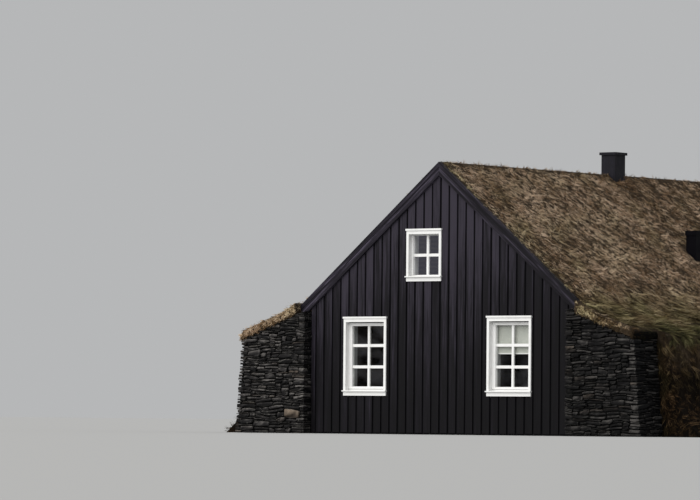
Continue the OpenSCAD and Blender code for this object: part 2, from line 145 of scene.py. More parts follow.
def make_mesh(name, verts, polys, tint=None, uv=None, smooth=False):
    """Mesh object; tint is a colour per point, uv a place per corner."""
    mesh = bpy.data.meshes.new(name)
    verts = np.asarray(verts, np.float32)
    polys = [np.asarray(p, np.int32) for p in polys]
    sizes = np.concatenate([np.full(len(p), p.shape[1], np.int32) for p in polys])
    corners = np.concatenate([p.ravel() for p in polys])
    mesh.vertices.add(len(verts))
    mesh.vertices.foreach_set("co", verts.ravel())
    mesh.loops.add(len(corners))
    mesh.loops.foreach_set("vertex_index", corners)
    mesh.polygons.add(len(sizes))
    starts = np.concatenate([[0], np.cumsum(sizes)[:-1]])
    mesh.polygons.foreach_set("loop_start", starts.astype(np.int32))
    mesh.polygons.foreach_set("use_smooth", np.full(len(sizes), smooth))
    if tint is not None:
        layer = mesh.attributes.new("tint", "FLOAT_COLOR", "POINT")
        layer.data.foreach_set("color", np.asarray(tint, np.float32).ravel())
    if uv is not None:
        layer = mesh.uv_layers.new(name="OFBake", do_init=False)
        layer.uv.foreach_set("vector", np.asarray(uv, np.float32).ravel())
    mesh.update(calc_edges=True)
    obj = bpy.data.objects.new(name, mesh)
    bpy.context.scene.collection.objects.link(obj)
    return obj


def dress(obj, material):
    """Gives a new piece its material and slot and lets it ride on the house."""
    obj.data.materials.append(material)
    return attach(obj, "house")


def bake_cells(count):
    """Lower corners and side of count square cells that share one map."""
    side = math.ceil(math.sqrt(count))
    at = np.arange(count)
    return np.stack([at % side, at // side], 1) / side, 1 / side


class Parts:
    """Collects prisms, boxes and loose faces that become one joined mesh."""

    def __init__(self):
        self.verts, self.faces, self.tints, self.count = [], [], [], 0

    def add(self, verts, faces, tone=0.5):
        verts = np.asarray(verts, float).reshape(-1, 3)
        for size in sorted({len(f) for f in faces}):
            self.faces.append(np.asarray([f for f in faces if len(f) == size], int) + self.count)
        self.verts.append(verts)
        self.tints.append(np.tile((tone, 0, 0, 1), (len(verts), 1)))
        self.count += len(verts)

    def prism(self, section, axis, low, high):
        """Closed section in the two other axes, drawn along an axis from low to high."""
        n = len(section)
        verts = [np.insert(np.array(p, float), axis, at) for at in (low, high) for p in section]
        faces = [(i, (i + 1) % n, n + (i + 1) % n, n + i) for i in range(n)]
        faces += [tuple(range(n - 1, -1, -1)), tuple(range(n, 2 * n))]
        self.add(verts, faces)

    def box(self, low, high):
        (x0, y0, z0), (x1, y1, z1) = low, high
        self.prism([(x0, y0), (x1, y0), (x1, y1), (x0, y1)], 2, z0, z1)

    def piece(self, name, material, slot="white_joinery", turn=None, mend=True):
        """The joined mesh; turn takes it to the rear, mend lets its faces look outward."""
        verts = np.concatenate(self.verts)
        if turn is not None:
            verts = verts @ turn.T
        obj = make_mesh(name, verts, self.faces, tint=np.concatenate(self.tints))
        if mend:
            work = bmesh.new()
            work.from_mesh(obj.data)
            bmesh.ops.recalc_face_normals(work, faces=work.faces)
            work.to_mesh(obj.data)
            work.free()
        return dress(obj, material)


# Materials


class Paint:
    """One procedural material; each call adds nodes and returns their output."""

    def __init__(self, name, roughness=0.6, specular=0.5, metallic=0.0):
        self.material = bpy.data.materials.new(name)
        self.material.use_nodes = True
        self.tree = self.material.node_tree
        self.shader = self.tree.nodes["Principled BSDF"]
        looks = {"Roughness": roughness, "Specular IOR Level": specular, "Metallic": metallic}
        for key, value in looks.items():
            self.shader.inputs[key].default_value = value
        self.place = self.add("TexCoord").outputs["Object"]

    def add(self, kind, settings=(), **inputs):
        node = self.tree.nodes.new("ShaderNode" + kind)
        for key, value in dict(settings).items():
            setattr(node, key, value)
        for key, value in inputs.items():
            self.put(node.inputs[key.replace("_", " ")], value)
        return node

    def put(self, socket, value):
        """Links an output to a socket, or sets the socket's own value."""
        if isinstance(value, bpy.types.NodeSocket):
            self.tree.links.new(value, socket)
        else:
            socket.default_value = (*value, 1) if socket.type == "RGBA" and len(value) == 3 else value

    def stretch(self, scale, rotation=(0, 0, 0)):
        """The object's own place, turned and then scaled along each axis."""
        turned = self.add("Mapping", Vector=self.place, Rotation=rotation).outputs["Vector"]
        return self.add("Mapping", Vector=turned, Scale=scale).outputs["Vector"]

    def noise(self, scale, detail=4.0, roughness=0.55, at=None):
        at = at or self.place
        return self.add("TexNoise", Vector=at, Scale=scale, Detail=detail, Roughness=roughness).outputs["Fac"]

    def grain(self, scale, detail, roughness, turn=(0, 0, 0)):
        """Noise drawn out along the axes with a low scale."""
        return self.noise(1.0, detail, roughness, self.stretch(scale, turn))

    def spots(self, scale):
        return self.add("TexVoronoi", Vector=self.place, Scale=scale).outputs["Distance"]

    def bands(self, direction, scale, **more):
        settings = {"wave_type": "BANDS", "bands_direction": direction}
        return self.add("TexWave", settings, Vector=self.place, Scale=scale, **more).outputs["Fac"]

    def ramp(self, value, *stops):
        """Colours between stops, each a value and its colour."""
        node = self.add("ValToRGB", Fac=value)
        while len(node.color_ramp.elements) < len(stops):
            node.color_ramp.elements.new(0.5)
        for element, (at, *colour) in zip(node.color_ramp.elements, stops):
            element.position = at
            element.color = (*colour, 1)
        return node.outputs["Color"]

    def level(self, value, low, high, out_low=0.0, out_high=1.0):
        return self.add("MapRange", Value=value, From_Min=low, From_Max=high, To_Min=out_low,
                        To_Max=out_high).outputs["Result"]

    def math(self, operation, a, b=0.0):
        node = self.add("Math", {"operation": operation})
        self.put(node.inputs[0], a)
        self.put(node.inputs[1], b)
        return node.outputs["Value"]

    def times(self, a, b):
        return self.math("MULTIPLY", a, b)

    def plus(self, a, b):
        return self.math("ADD", a, b)

    def weigh(self, *terms):
        """Sum of values, each times its weight."""
        total = self.times(*terms[0])
        for value, weight in terms[1:]:
            total = self.plus(total, self.times(value, weight))
        return total

    def mix(self, share, a, b):
        node = self.add("Mix", {"data_type": "RGBA"})
        for at, what in ((0, share), (6, a), (7, b)):
            self.put(node.inputs[at], what)
        return node.outputs[2]

    def tint(self, part=0):
        """One of the numbers that a piece's points carry."""
        colour = self.add("Attribute", {"attribute_name": "tint"}).outputs["Color"]
        return self.add("SeparateColor", Color=colour).outputs[part]

    def coord(self, axis):
        """Place along one axis of the object."""
        return self.add("SeparateXYZ", Vector=self.place).outputs[axis]

    def facing(self, axis):
        """How far the surface looks along one axis, from -1 to 1."""
        return self.add("SeparateXYZ", Vector=self.add("NewGeometry").outputs["Normal"]).outputs[axis]

    def finish(self, colour, rough=None, height=None, distance=0.002, strength=0.6):
        """Links what varies; rough is a noise and the roughness at its two ends."""
        self.put(self.shader.inputs["Base Color"], colour)
        if rough is not None:
            self.put(self.shader.inputs["Roughness"], self.level(rough[0], 0.3, 0.7, *rough[1:]))
        if height is not None:
            bump = self.add("Bump", Height=height, Strength=strength, Distance=distance)
            self.put(self.shader.inputs["Normal"], bump.outputs["Normal"])
        return self.material


def lit(light, *colours):
    """Colours made lighter or darker."""
    return [tuple(c * light for c in colour) for colour in colours]


def black_timber(name, along, light=1.0, turn=(0, 0, 0), toned=False, soft=0.14):
    """Tarred boards with grain along one axis; toned ones are lighter towards the top, with painted light at
    the left and painted shade at the right.
    """
    p = Paint(name, roughness=0.6, specular=0.13)
    fine, broad = [38.0, 38.0, 38.0], [9.0, 9.0, 9.0]
    fine[along], broad[along] = 1.5, 0.45
    grain = p.grain(fine, 6, 0.66, turn)
    fade = p.grain(broad, 4, 0.5, turn)
    value = p.weigh((grain, 0.62), (fade, 0.34), (p.noise(1.3, 5, 0.6), 0.04))
    # Toned boards: each board's own tone, lighter towards the top, painted light to the left and painted
    # shade to the right
    if toned:
        for what, ends in ((p.tint(), (0, 1, -0.080, 0.055)), (p.coord(2), (0.4, 4.4, -0.139, 0.18)),
                           (p.coord(0), (-2.0, 2.0, 0.060, -0.045))):
            value = p.plus(value, p.level(what, *ends))
    dark, mid, pale = lit(light, (0.0022, 0.0018, 0.0028), (0.0070, 0.0059, 0.0087), (0.0335, 0.0290, 0.0410))
    colour = p.ramp(value, (0.50 - soft, *dark), (0.50, *mid), (0.50 + 1.25 * soft, *pale))
    return p.finish(colour, (grain, 0.5, 0.75), grain, 0.0020, 0.6)


def gable_wall():
    """Black behind the outer boards, darker than their tar as painted shade in the grooves; planed boards on
    the room's side.
    """
    p = Paint("gable_wall", roughness=0.8, specular=0.08)
    grain = p.grain((40, 40, 1.8), 5, 0.6)
    # The black seen in the grooves: darker than the boards, as painted shade
    black = p.ramp(grain, (0.3, 0.0016, 0.0016, 0.0020), (0.75, 0.0046, 0.0045, 0.0055))
    wood = p.ramp(grain, (0.25, 0.065, 0.040, 0.022), (0.75, 0.16, 0.11, 0.065))
    inside = p.math("LESS_THAN", p.math("ABSOLUTE", p.coord(1)), HALF_L - GABLE_T / 2)
    colour = p.mix(inside, black, wood)
    return p.finish(colour, None, grain, 0.0015, 0.5)


def white_paint(name="white_paint", light=1.0):
    """White paint with brush marks, a little grime, and painted shade on what faces down."""
    p = Paint(name, roughness=0.4, specular=0.4)
    brush = p.grain((55, 55, 5), 4, 0.55)
    grime = p.noise(5.0, 6, 0.65)
    dirt = p.plus(p.level(grime, 0.52, 0.8, 0.0, 0.45), p.level(p.facing(2), 0.3, 1.0, 0.0, 0.35))
    colour = p.mix(dirt, *lit(light, (0.87, 0.87, 0.86), (0.58, 0.57, 0.54)))
    # What faces down is darker: painted shade
    colour = p.mix(p.level(p.facing(2), -0.3, -0.9), colour, (0.16, 0.155, 0.15))
    return p.finish(colour, (grime, 0.33, 0.55), brush, 0.0006, 0.35)


def bare_wood():
    p = Paint("bare_wood", roughness=0.62, specular=0.35)
    grain = p.grain((30, 2.2, 30), 6, 0.6)
    value = p.weigh((grain, 0.7), (p.bands("X", 3.2, Distortion=3.0, Detail=2.0), 0.3))
    colour = p.ramp(value, (0.25, 0.065, 0.040, 0.022), (0.55, 0.125, 0.082, 0.046),
                    (0.8, 0.20, 0.14, 0.085))
    return p.finish(colour, (grain, 0.5, 0.72), value, 0.001, 0.4)


def stone_paint():
    """Split dark basalt with painted light on its tops, painted shade on its flanks and over the right walls,
    brown stains and a few spots of lichen.

    A point's three numbers are its stone's tone and warmth and the wall's shade.
    """
    p = Paint("dry_stone", roughness=0.9, specular=0.12)
    tone, warm, shade = p.tint(0), p.tint(1), p.tint(2)
    rough = p.noise(16.0, 8, 0.7)
    grit = p.noise(70.0, 4, 0.7)
    value = p.weigh((tone, 0.52), (rough, 0.48))
    grey = p.ramp(value, (0.22, 0.0036, 0.0034, 0.0036), (0.44, 0.0135, 0.0128, 0.0131),
                  (0.60, 0.036, 0.0335, 0.033), (0.85, 0.150, 0.140, 0.132))
    brown = p.ramp(value, (0.22, 0.0060, 0.0046, 0.0038), (0.5, 0.030, 0.023, 0.018),
                   (0.9, 0.20, 0.157, 0.120))
    stain = p.plus(warm, p.times(p.noise(2.2, 3), 0.5))
    colour = p.mix(p.level(stain, 0.80, 1.25), grey, brown)
    # Faces that look up are paler where the rough noise is high: painted light on the tops
    top = p.times(p.level(p.facing(2), 0.30, 0.95), p.level(rough, 0.38, 0.62))
    colour = p.mix(p.times(top, 0.80), colour, (0.205, 0.196, 0.178))
    lichen = p.times(p.level(p.spots(9.0), 0.15, 0.07), p.level(p.noise(3.1, 3), 0.55, 0.65))
    colour = p.mix(p.times(lichen, 0.6), colour, (0.22, 0.215, 0.19))
    colour = p.mix(p.times(shade, 0.55), colour, (0.0015, 0.0015, 0.0016))
    # Faces that look along x are darker and bluer: painted shade on the flanks, a little less on the right
    # walls, which carry painted shade all over
    flank = p.level(p.math("ABSOLUTE", p.facing(0)), 0.45, 0.85)
    flank = p.times(flank, p.math("SUBTRACT", 0.38, p.times(shade, 0.06)))
    colour = p.mix(flank, colour, (0.0010, 0.0013, 0.0024))
    height = p.weigh((rough, 0.7), (grit, 0.3))
    return p.finish(colour, (grit, 0.75, 0.95), height, 0.008, 0.9)


def turf_paint():
    """Matted roots and earth, darker low down as painted shade and damp, near black as painted shadow in the
    hollow beside a wall.
    """
    p = Paint("turf_soil", roughness=0.95, specular=0.05)
    mat = p.grain((26, 26, 9), 6, 0.7)
    clods = p.noise(5.0, 6, 0.65)
    value = p.weigh((mat, 0.6), (clods, 0.4))
    colour = p.ramp(value, (0.34, 0.012, 0.0085, 0.0058), (0.5, 0.040, 0.0285, 0.0185),
                    (0.68, 0.105, 0.078, 0.051))
    # Darker low down: painted shade, and damp earth
    low = p.level(p.coord(2), 1.5, 1.1)
    colour = p.mix(p.times(low, 0.92), colour, (0.0026, 0.0018, 0.0013))
    # Near black in the hollow under the turf's lip: painted shadow
    hollow = p.times(p.level(p.coord(0), HOLLOW_X - 0.02, HOLLOW_X + 0.06),
                     p.level(p.coord(2), HOLLOW_Z + 0.01, HOLLOW_Z - 0.07))
    ends = p.level(p.math("ABSOLUTE", p.coord(1)), HOLLOW_Y - 0.05, HOLLOW_Y + 0.01)
    colour = p.mix(p.times(hollow, ends), colour, (0.002, 0.0018, 0.0015))
    return p.finish(colour, None, value, 0.03, 1.0)


def grass_paint():
    """Dry grass by a blade's three numbers: its tone, its green and the way to its tip."""
    p = Paint("dry_grass", roughness=0.85, specular=0.08)
    # Each blade darker towards its root and lighter towards its tip: painted shade deep in the mat
    value = p.plus(p.tint(0), p.level(p.tint(2), 0, 1, -0.16, 0.08))
    dry = p.ramp(value, (0.05, 0.023, 0.0125, 0.0050), (0.35, 0.163, 0.096, 0.0490),
                 (0.62, 0.353, 0.239, 0.152), (0.95, 0.610, 0.464, 0.332))
    fresh = p.ramp(value, (0.05, 0.014, 0.014, 0.006), (0.35, 0.090, 0.086, 0.036),
                   (0.65, 0.235, 0.220, 0.095), (0.95, 0.46, 0.42, 0.20))
    return p.finish(p.mix(p.tint(1), dry, fresh))


def concrete():
    p = Paint("concrete", roughness=0.85, specular=0.3)
    patch, grit = p.noise(2.5, 6, 0.6), p.noise(90.0, 3, 0.6)
    colour = p.ramp(patch, (0.3, 0.115, 0.11, 0.105), (0.7, 0.21, 0.20, 0.19))
    return p.finish(colour, (patch, 0.75, 0.95), grit, 0.0015, 0.5)


def door_paint():
    p = Paint("door_paint", roughness=0.42, specular=0.4)
    brush = p.grain((60, 60, 3), 4, 0.55)
    worn = p.noise(3.0, 5, 0.6)
    colour = p.ramp(worn, (0.3, 0.014, 0.016, 0.021), (0.7, 0.026, 0.029, 0.037))
    return p.finish(colour, (worn, 0.34, 0.55), brush, 0.0007, 0.4)


def steel():
    p = Paint("steel", roughness=0.35, metallic=1.0)
    brushed = p.grain((30, 300, 300), 4, 0.6)
    stain = p.noise(18.0, 4, 0.6)
    colour = p.ramp(stain, (0.3, 0.42, 0.42, 0.42), (0.7, 0.62, 0.62, 0.61))
    return p.finish(colour, (brushed, 0.26, 0.5), brushed, 0.0002, 0.3)


def black_metal(name, light):
    p = Paint(name, roughness=0.6, specular=0.15 * light)
    patch = p.noise(7.0, 6, 0.65)
    streak = p.grain((24, 24, 1.5), 5, 0.6)
    dark, mid, pale = lit(light, (0.0050, 0.0048, 0.0076), (0.0096, 0.0090, 0.0140), (0.021, 0.020, 0.027))
    colour = p.ramp(p.weigh((patch, 0.5), (streak, 0.5)), (0.32, *dark), (0.56, *mid), (0.72, *pale))
    return p.finish(colour, (patch, 0.42, 0.68), patch, 0.0012, 0.4)


def rubber():
    p = Paint("black_rubber", roughness=0.75, specular=0.2)
    colour = p.ramp(p.noise(30.0, 4, 0.6), (0.3, 0.006, 0.006, 0.007), (0.7, 0.014, 0.014, 0.015))
    return p.finish(colour, None, p.noise(90.0, 3), 0.0004, 0.3)


def glass(name, low, high, index):
    """Sealed unit: a mirror by Fresnel over a clear sheet, its colour in broad soft patches of painted
    reflection.
    """
    p = Paint(name)
    clear = p.add("BsdfTransparent", Color=(0.985, 0.99, 0.985))
    bump = p.add("Bump", Height=p.noise(2.2, 2, 0.5), Strength=0.10, Distance=0.004)
    # Broad patches of the mirror's colour: painted reflection
    patch = p.ramp(p.noise(2.6, 3, 0.5, at=p.stretch((1, 1, 1.4))), (0.40, *low), (0.62, *high))
    gloss = p.add("BsdfGlossy", Color=patch, Roughness=0.03, Normal=bump.outputs["Normal"])
    fresnel = p.add("Fresnel", IOR=index)
    outer = p.math("SUBTRACT", 1.0, p.add("NewGeometry").outputs["Backfacing"])
    mixed = p.add("MixShader")
    for at, what in enumerate((p.times(fresnel.outputs["Fac"], outer), clear.outputs["BSDF"],
                               gloss.outputs["BSDF"])):
        p.put(mixed.inputs[at], what)
    p.put(p.tree.nodes["Material Output"].inputs["Surface"], mixed.outputs["Shader"])
    p.tree.nodes.remove(p.shader)
    return p.material


def cloth(name, pale, dark):
    p = Paint(name, roughness=0.9, specular=0.15)
    threads = p.times(p.bands("X", 160.0), p.bands("Z", 160.0))
    colour = p.mix(p.level(p.noise(6.0, 4), 0.35, 0.7), pale, dark)
    return p.finish(colour, None, threads, 0.0004, 0.4)


TIMBER_UP = black_timber("black_boards", 2, toned=True)
# The barge boards' timber in two copies: painted light on the left ones, painted shade on the right ones
TIMBER_LEFT_PAINTED_LIT = black_timber("black_barge_left_painted_lit", 0, 3.5, (0, PITCH, 0), soft=0.09)
TIMBER_RIGHT_PAINTED_SHADE = black_timber("black_barge_right_painted_shade", 0, 1.8, (0, -PITCH, 0), soft=0.09)
WHITE = white_paint()
# The linings inside the room: white paint darkened as painted shade, less so in the loft
LINING = white_paint("lining_paint", 0.42)
LOFT_LINING = white_paint("loft_lining_paint", 0.85)
STONE = stone_paint()
GRASS = grass_paint()
RUBBER = rubber()

# A node takes the first finish that has a part of its name
FINISHES = (
    (gable_wall(), "gable"), (turf_paint(), "turf"), (STONE, "stone_wall"), (WHITE, "window door_frame"),
    (TIMBER_LEFT_PAINTED_LIT, "barge_front_left barge_rear_left"), (TIMBER_RIGHT_PAINTED_SHADE, "barge_front_right barge_rear_right"),
    (concrete(), "floor_slab door_threshold"), (bare_wood(), "loft_floor side_wall roof_deck ridge_beam"),
    # The loft's mirror is tinted bluish: painted reflection of the sky
    (glass("glass_loft", (0.80, 0.78, 0.95), (0.88, 0.86, 1.0), 2.1), "glass_front_loft glass_rear_loft"),
    (glass("glass", (0.13, 0.13, 0.14), (0.95, 0.93, 0.98), 1.6), "glass"),
    (door_paint(), "door_leaf"), (steel(), "door_handle hinge"),
    (black_metal("black_metal", 1.0), "chimney"), (black_metal("dark_metal", 0.33), "vent"),
)


for name, obj in NODES.items():
    obj.data.materials.clear()
    obj.data.materials.append(next(m for m, keys in FINISHES if any(k in name for k in keys.split())))


# Boards of the gables, and dark seal strips standing for the shadow by the sashes


def openings(side, turn):
    """Casings in a gable as x0, x1, z0, z1, seen from outside."""
    out = []
    for name in [f"window_{side}_{where}" for where in WINDOWS] + ["door_frame"] * (side == "rear"):
        low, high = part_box(name)
        x0, x1 = seen_x(low, high, turn)
        out.append((x0 + EAR_W, x1 - EAR_W, 0.0 if name == "door_frame" else low.z, high.z))
    return out


def seen_x(low, high, turn):
    """Left and right end of a box as seen from outside its gable."""
    return (low.x, high.x) if turn is None else (-high.x, -low.x)


def board_profile(x0, x1):
    """Points across a board: x and how far it stands out, with worn arrises."""
    half = [(0, BOARD_T - ARRIS), (0.3 * ARRIS, BOARD_T - 0.3 * ARRIS), (ARRIS, BOARD_T)]
    return ([(x0, 0.0)] + [(x0 + x, out) for x, out in half] + [(x1 - x, out) for x, out in half[::-1]]
            + [(x1, 0.0)])


def profile_at(profile, cuts):
    """The profile with extra points where cuts cross it."""
    extra = [(cut, float(np.interp(cut, *zip(*profile)))) for cut in cuts]
    return sorted(profile + extra, key=lambda point: point[0])


def clear_spans(foot, holes):
    """Stretches of a board that no hole takes; None stands for its upper end."""
    spans, z = [], foot
    for low, high in sorted(holes):
        if low > z:
            spans.append((z, low))
        z = max(z, high)
    return spans + [(z, None)]


def board_face(parts, ends, z0, z1, tone, stand):
    """One face of a board between two points of its section, from z0 to z1 or the barge board."""
    tops = [roof_z(x, BARGE_D) + CAPPING_T if z1 is None else z1 for x, _ in ends]
    if min(tops) <= z0:
        return
    n = max(1, int((min(tops) - z0) / BOARD_STEP_Z)) + 1
    verts = []
    for (x, out), top in zip(ends, tops):
        zs = np.linspace(z0, top, n)
        y = -HALF_L - (out + stand(zs) if out > 0 else np.zeros(n))
        verts.append(np.stack([np.full(n, x), y, zs], 1))
    verts.append([(x, -HALF_L, z0) for x, _ in ends])
    faces = [(k, n + k, n + k + 1, k + 1) for k in range(n - 1)]
    if max(out for _, out in ends) > 0:
        faces.append((0, 2 * n, 2 * n + 1, n))
    parts.add(np.concatenate(verts), faces, tone)


def gable_boards(side, turn, seed):
    """Upright boards of one gable, cut round its openings and under the barge boards."""
    rng = np.random.default_rng(seed)
    holes = openings(side, turn)
    parts = Parts()
    end, slack = HALF_W - 0.001, 0.0012
    inner = np.arange(-40, 41) * BOARD_PITCH + BOARD_START
    edges = [-end] + [e for e in inner if abs(e) < HALF_W - 0.05] + [end]
    for i, (left, right) in enumerate(zip(edges, edges[1:])):
        x0 = left + (GROOVE_W / 2 if i else 0) + rng.normal(0, slack)
        x1 = right - (GROOVE_W / 2 if i < len(edges) - 2 else 0) + rng.normal(0, slack)
        x0, x1 = max(x0, -end), min(x1, end)
        tone, proud, foot = rng.uniform(), rng.normal(0, 0.0013), BOARD_FOOT_Z + rng.uniform(0, 0.008)
        bow, phase = rng.normal(0, 0.0011), rng.uniform(0, 6)
        cuts = sorted({c for h in holes for c in h[:2] if x0 < c < x1})
        points = profile_at(board_profile(x0, x1), cuts)
        for ends in zip(points, points[1:]):
            mid = (ends[0][0] + ends[1][0]) / 2
            for z0, z1 in clear_spans(foot, [h[2:] for h in holes if h[0] < mid < h[1]]):
                board_face(parts, ends, z0, z1, tone, lambda z: proud + bow * np.sin(z * 1.7 + phase))
    parts.piece("boards_" + side, TIMBER_UP, "black_timber", turn, mend=False)


def barge_strips(side, turn):
    """A second, narrower board along the top of each barge board, under its capping."""
    for where, way, timber in (("left", -1, TIMBER_LEFT_PAINTED_LIT), ("right", 1, TIMBER_RIGHT_PAINTED_SHADE)):
        low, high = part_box(f"barge_{side}_{where}")
        reach = max(abs(low.x), abs(high.x)) - 0.002
        face = 0.014 - (-low.y if turn is None else high.y)
        foot, top = ([(x, roof_z(x, depth)) for x in (0.0, reach)] for depth in (STRIP_D, CAPPING_T))
        way = way if turn is None else -way
        parts = Parts()
        parts.prism([(way * x, z) for x, z in foot + top[::-1]], 1, face - STRIP_T, face + 0.004)
        parts.piece(f"strip_{side}_{where}", timber, "black_timber", turn)


def seal_and_shadow_strips(side, way):
    """Dark strips along the top and foot of each ground floor sash: a weather seal, darkened as painted
    shadow in the gap there.
    """
    parts = Parts()
    for where in WINDOWS[:2]:
        low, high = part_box(f"glass_{side}_{where}")
        y = way * (HALF_L + CASING_OUT - SASH_RECESS)
        top, foot = high.z + RAIL_H, low.z - RAIL_H
        for z0, z1, out in ((top - 0.015, top, 0.006), (foot + 0.022, foot + 0.028, 0.002)):
            y0, y1 = sorted((y, y + way * out))
            parts.box((low.x - STILE_W, y0, z0), (high.x + STILE_W, y1, z1))
    parts.piece("seals_" + side, RUBBER)


# Window bars and what hangs behind the glass


def bevelled(middle, width, face, way):
    """Section of a bar on one face of a glass: place across it and depth."""
    half = width / 2
    return [(middle - half, face), (middle - half + BEVEL, face + way * BAR_OUT),
            (middle + half - BEVEL, face + way * BAR_OUT), (middle + half, face)]


def window_bars(side, where):
    """Bars on both faces of a glass, with a bevelled face and beads round each pane."""
    low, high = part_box(f"glass_{side}_{where}")
    rows = 2 if where == "loft" else 3
    pane_w = (high.x - low.x - BAR_W) / 2
    pane_h = (high.z - low.z - (rows - 1) * BAR_H) / rows
    parts = Parts()
    for face, way in ((low.y, -1), (high.y, 1)):
        parts.prism(bevelled((low.x + high.x) / 2, BAR_W, face, way), 2, low.z, high.z)
        for k in range(rows - 1):
            z = low.z + (k + 1) * pane_h + (k + 0.5) * BAR_H
            section = [(y, z) for z, y in bevelled(z, BAR_H, face, way)]
            for x0, x1 in ((low.x, low.x + pane_w + BEVEL), (high.x - pane_w - BEVEL, high.x)):
                parts.prism(section, 0, x0, x1)
        bead = face + way * BEVEL
        for x, inward in ((low.x, BEVEL), (high.x, -BEVEL)):
            parts.prism([(x, face), (x, bead), (x + inward, face)], 2, low.z, high.z)
        for z, inward in ((low.z, BEVEL), (high.z, -BEVEL)):
            parts.prism([(face, z), (bead, z), (face, z + inward)], 0, low.x, high.x)
    parts.piece(f"bars_{side}_{where}", WHITE)


def ring(y, z, depth, height, count):
    return [(y + depth * math.cos(a), z + height * math.sin(a))
            for a in np.linspace(0, 2 * math.pi, count + 1)[:-1]]


def roller_blind():
    """Half drawn roller blind behind the right front window."""
    low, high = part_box("glass_front_right")
    width, drop, tube = high.x - low.x + 0.05, 0.555, 0.019
    x0 = (low.x + high.x) / 2 - width / 2
    x1, y, top = x0 + width, high.y + 0.045, high.z + 0.04
    gx, gz = np.meshgrid(np.linspace(x0, x1, 15), np.linspace(top - drop, top, 13))
    gy = y + 0.0025 * np.sin(gx * 9.0) * (top - gz) / drop
    verts = np.stack([gx, gy, gz], -1).reshape(-1, 3)
    at = np.arange(gx.size).reshape(gx.shape)
    faces = np.stack([at[:-1, :-1], at[:-1, 1:], at[1:, 1:], at[1:, :-1]], -1).reshape(-1, 4)
    blind = make_mesh("blind_front_right", verts, [faces], smooth=True)
    dress(blind, cloth("blind_cloth", (0.535, 0.545, 0.50), (0.47, 0.485, 0.445)))
    parts = Parts()
    parts.prism(ring(y + 0.003, top, tube, tube, 16), 0, x0 - 0.01, x1 + 0.01)
    parts.prism(ring(y, top - drop, 0.007, 0.013, 12), 0, x0, x1)
    for x in (x0 - 0.014, x1 + 0.010):
        parts.box((x, high.y + 0.011, top - 0.03), (x + 0.004, y + 0.03, top + 0.03))
    fittings = parts.piece("blind_fittings", WHITE)


def board_ring(parts, x, y, z, inner, outer):
    """Four boards round an opening, from inner to outer beyond its edges."""
    for a, b in ((x[0] - outer, x[0] - inner), (x[1] + inner, x[1] + outer)):
        parts.box((a, y[0], z[0] - outer), (b, y[1], z[1] + outer))
    for a, b in ((z[0] - outer, z[0] - inner), (z[1] + inner, z[1] + outer)):
        parts.box((x[0] - inner, y[0], a), (x[1] + inner, y[1], b))


def linings(side, where, turn):
    """Boards round a window's opening and a flat frame on the wall of the room."""
    low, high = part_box(f"glass_{side}_{where}")
    x, z = seen_x(low, high, turn), (low.z, high.z)
    wall = -HALF_L + GABLE_T
    parts = Parts()
    front = -HALF_L - CASING_OUT + SASH_RECESS + SASH_T + 0.001
    board_ring(parts, x, (front, wall + 0.045), z, 0, LINING_T)
    board_ring(parts, x, (wall + 0.001, wall + TRIM_T), z, LINING_T, LINING_T + TRIM_W)
    parts.piece(f"linings_{side}_{where}", LOFT_LINING if where == "loft" else LINING, turn=turn)


# Stones


def box_template(*counts):
    """Points, faces and map places of a box from -1 to 1, with its rings near the edges."""
    axes = [np.concatenate([[-1], np.linspace(-0.72, 0.72, n - 1), [1]]) for n in counts]
    index, verts, faces, places = {}, [], [], []
    for group in range(6):
        axis, end = group // 2, group % 2
        u, v = [a for a in range(3) if a != axis]
        nu, nv = counts[u], counts[v]
        corner = np.array([group % 3 / 3, group // 3 / 2])
        for i, j in np.ndindex(nu, nv):
            quad = [(i, j), (i + 1, j), (i + 1, j + 1), (i, j + 1)]
            if (end == 1) == (axis == 1):
                quad = quad[::-1]
            face = []
            for a, b in quad:
                key = [0, 0, 0]
                key[axis], key[u], key[v] = end * counts[axis], a, b
                if tuple(key) not in index:
                    index[tuple(key)] = len(verts)
                    verts.append([axes[k][key[k]] for k in range(3)])
                face.append(index[tuple(key)])
                places.append(corner + (0.03 + 0.94 * np.array([a / nu, b / nv])) * (1 / 3, 1 / 2))
            faces.append(face)
    return np.array(verts), np.array(faces), np.array(places)


def fill_wall(taken, rng, longest):
    """Random walling: fills the free cells of a grid with blocks one to three rows high."""
    rows, cols = taken.shape
    blocks = []
    for r in range(rows):
        c = 0
        while c < cols:
            run = int(np.append(taken[r, c:], True).argmax())
            if not run:
                c += 1
                continue
            w = min(run, int(rng.integers(4, longest + 1)))
            if run - w in (1, 2):
                w = run
            h = int(rng.choice([1, 2, 3], p=[0.24, 0.58, 0.18]))
            while h > 1 and (r + h > rows or taken[r:r + h, c:c + w].any()):
                h -= 1
            taken[r:r + h, c:c + w] = True
            blocks.append((c, r, w, h))
            c += w
    return blocks


